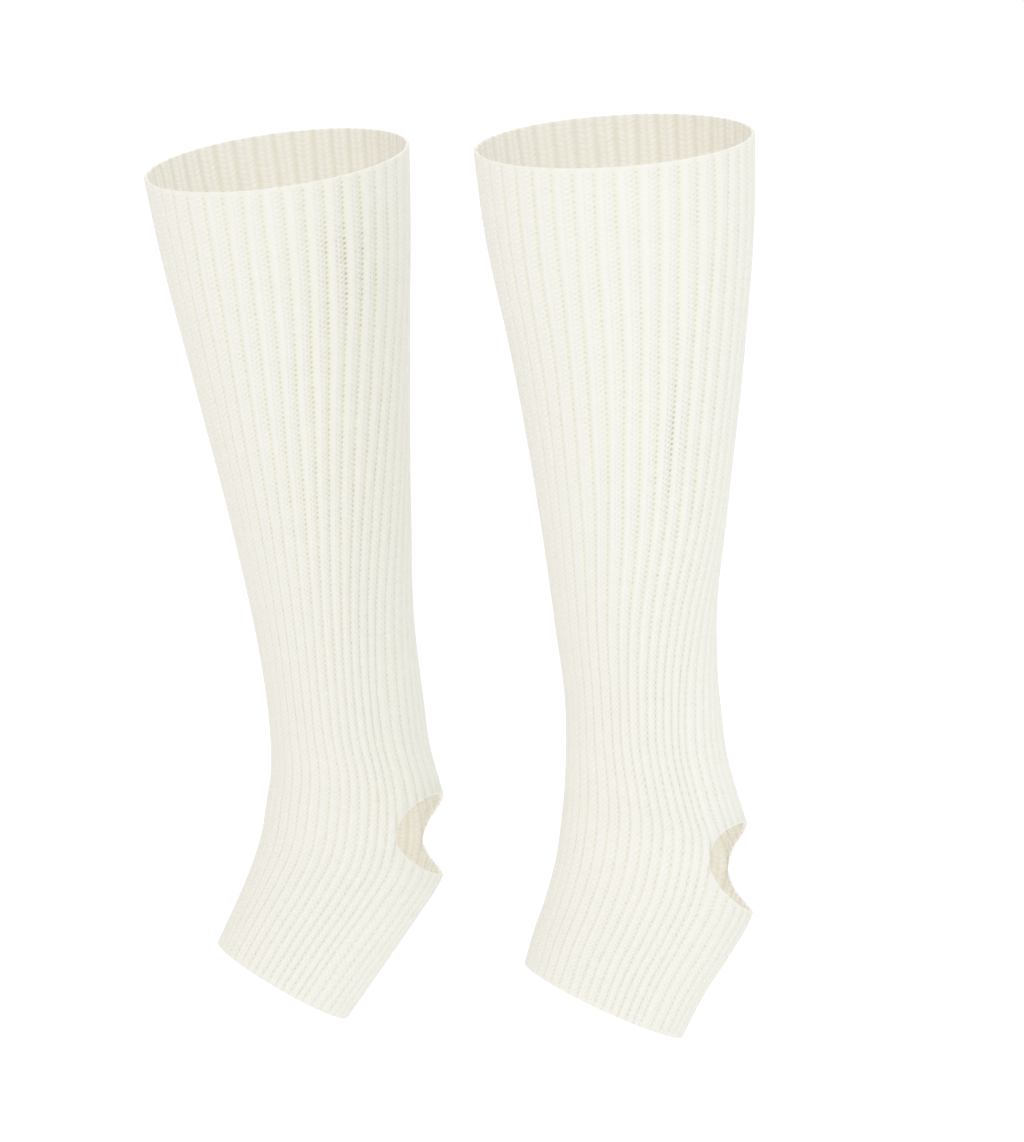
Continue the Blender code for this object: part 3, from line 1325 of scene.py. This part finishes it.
FAR_TUBE = Tube(
    place=(-75.5, 58.0, -8.5),
    sections=(
        Section(0, -61.0, -7.5, 60.0, 8.5, 54.0, -5.0, 8.5),
        Section(14, -54.0, -40.5, 60.5, -24.5, 53.0, -4.0, 7.5),
        Section(40, -38.0, -103.5, 60.0, -87.0, 49.0, 0.0, 4.0),
        Section(70, -20.5, -173.0, 60.5, -160.5, 42.0, 4.0, 0.0),
        Section(90, -10.5, -219.0, 62.0, -210.0, 37.0, 7.0, -4.0),
        Section(104, -5.5, -250.0, 66.5, -245.5, 35.0, 10.0, -7.0),
        Section(112, -4.0, -268.0, 70.0, -268.0, 34.0, 11.0, -11.0),
        Section(118, -4.0, -281.0, 76.0, -288.0, 33.0, 12.0, -14.0),
        Section(126, -6.0, -295.0, 79.0, -307.5, 33.0, 13.0, -12.0),
        Section(134, -8.5, -310.0, 76.0, -327.0, 34.0, 13.0, -9.0),
        Section(142, -13.5, -326.0, 65.0, -345.0, 35.0, 13.0, -10.0),
        Section(151, -20.5, -343.0, 47.0, -371.0, 36.5, 13.0, -12.0),
        Section(160, -29.0, -361.5, 30.0, -395.5, 37.5, 13.0, -12.0),
    ),
    twist=0.46,
    twist_courses=(20.0, 110.0),
)

NEAR_TUBE = Tube(
    place=(75.5, -58.0, 8.5),
    sections=(
        Section(0, -61.5, -3.5, 62.0, 5.5, 54.0, -5.0, 7.5),
        Section(14, -57.0, -36.5, 62.0, -27.0, 53.0, -4.0, 7.0),
        Section(40, -44.0, -97.5, 58.0, -88.5, 49.0, -1.0, 4.0),
        Section(70, -31.5, -170.0, 50.5, -161.5, 42.0, 3.0, 0.0),
        Section(90, -25.0, -216.0, 46.0, -211.0, 37.0, 6.0, -4.0),
        Section(104, -21.0, -247.0, 48.0, -247.0, 35.0, 8.0, -8.0),
        Section(112, -20.5, -266.0, 52.0, -273.5, 34.0, 9.0, -11.0),
        Section(118, -21.0, -283.0, 60.0, -298.5, 33.0, 10.0, -15.0),
        Section(126, -22.5, -299.5, 67.0, -316.0, 33.0, 11.0, -14.0),
        Section(134, -25.0, -317.5, 63.0, -339.5, 34.0, 11.0, -11.0),
        Section(142, -29.5, -335.0, 54.0, -357.0, 35.0, 11.0, -10.0),
        Section(151, -34.5, -349.5, 41.5, -377.0, 36.5, 10.0, -9.0),
        Section(160, -39.0, -365.0, 31.5, -397.0, 37.5, 9.0, -8.0),
    ),
    twist=0.54,
    twist_courses=(62.0, 118.0),
)

FAR_KNIT = RibKnit(
    open_places=(
        OpenPlace(-10.0, 55.0, 6.0, 40.0, 0.35),
        OpenPlace(-9.7, 16.0, 1.7, 12.0, 0.75),
    ),
    seed=11,
)
NEAR_KNIT = RibKnit(
    open_places=(
        OpenPlace(-10.5, 60.0, 4.0, 45.0, 0.25),
        OpenPlace(-11.0, 52.0, 0.6, 9.0, 0.6),
    ),
    seed=23,
)

# The crease, hollow and hole colours are painted shade: yellowish down the furrows, between the
# stitches, and of the tube's inside seen through the holes.
FACE_FINISH = KnitFinish(
    name="rib_knit_face",
    stitches=FACE_STITCHES,
    colour=(0.80, 0.798, 0.76, 1.0),
    tint=(0.805, 0.80, 0.75, 1.0),
    crease_shade=(0.80, 0.78, 0.66, 1.0),
    hollow_shade=(0.68, 0.665, 0.585, 1.0),
    hole_shade=(0.38, 0.35, 0.22, 1.0),
    shade_creases=(ShadeCrease(0.0, 0.15, 0.5),),
)
# The reverse's yarn colours are a little lighter than the face's, painted light for the inside of
# the tube. Its crease colour is painted shade down two lines of each rib, the deeper at its groove.
REVERSE_FINISH = KnitFinish(
    name="rib_knit_reverse",
    stitches=REVERSE_STITCHES,
    colour=(0.818, 0.812, 0.775, 1.0),
    tint=(0.815, 0.80, 0.76, 1.0),
    crease_shade=(0.67, 0.64, 0.54, 1.0),
    hollow_shade=(0.69, 0.67, 0.59, 1.0),
    hole_shade=(0.42, 0.37, 0.27, 1.0),
    shade_creases=(
        ShadeCrease(0.0, 0.16, 0.65),
        ShadeCrease(0.5, 0.1, 0.35),
    ),
)
# Where the lamps inside a tube hang, and how far towards the heels each is moved, in metres
GLOW_COURSES = np.array([20.0, 50.0, 80.0, 105.0, 125.0, 142.0])
GLOW_SHIFTS = np.array([0.015, 0.007, 0.0, 0.0, 0.0, 0.0])


def main() -> None:
    """Builds the studio and the pair, and reports each piece's triangles."""
    logging.basicConfig(level=logging.INFO, format="%(name)s: %(message)s")
    studio = Studio()
    studio.build()
    finishes = [FACE_FINISH.build(), REVERSE_FINISH.build()]
    warmers = (
        LegWarmer("far", "far_leg_warmer", FAR_TUBE, FAR_KNIT),
        LegWarmer("near", "near_leg_warmer", NEAR_TUBE, NEAR_KNIT),
    )
    for warmer in warmers:
        half_widths = warmer.tube.sizes_at(GLOW_COURSES)[4] * METRES_PER_MM
        places = warmer.middle(GLOW_COURSES)
        places[:, 0] += GLOW_SHIFTS
        studio.glow(places, half_widths)
        for piece in warmer.build(finishes):
            triangles = sum(len(face.vertices) - 2 for face in piece.data.polygons)
            LOG.info("%s: %d triangles", piece.name, triangles)


if __name__ == "__main__":
    main()
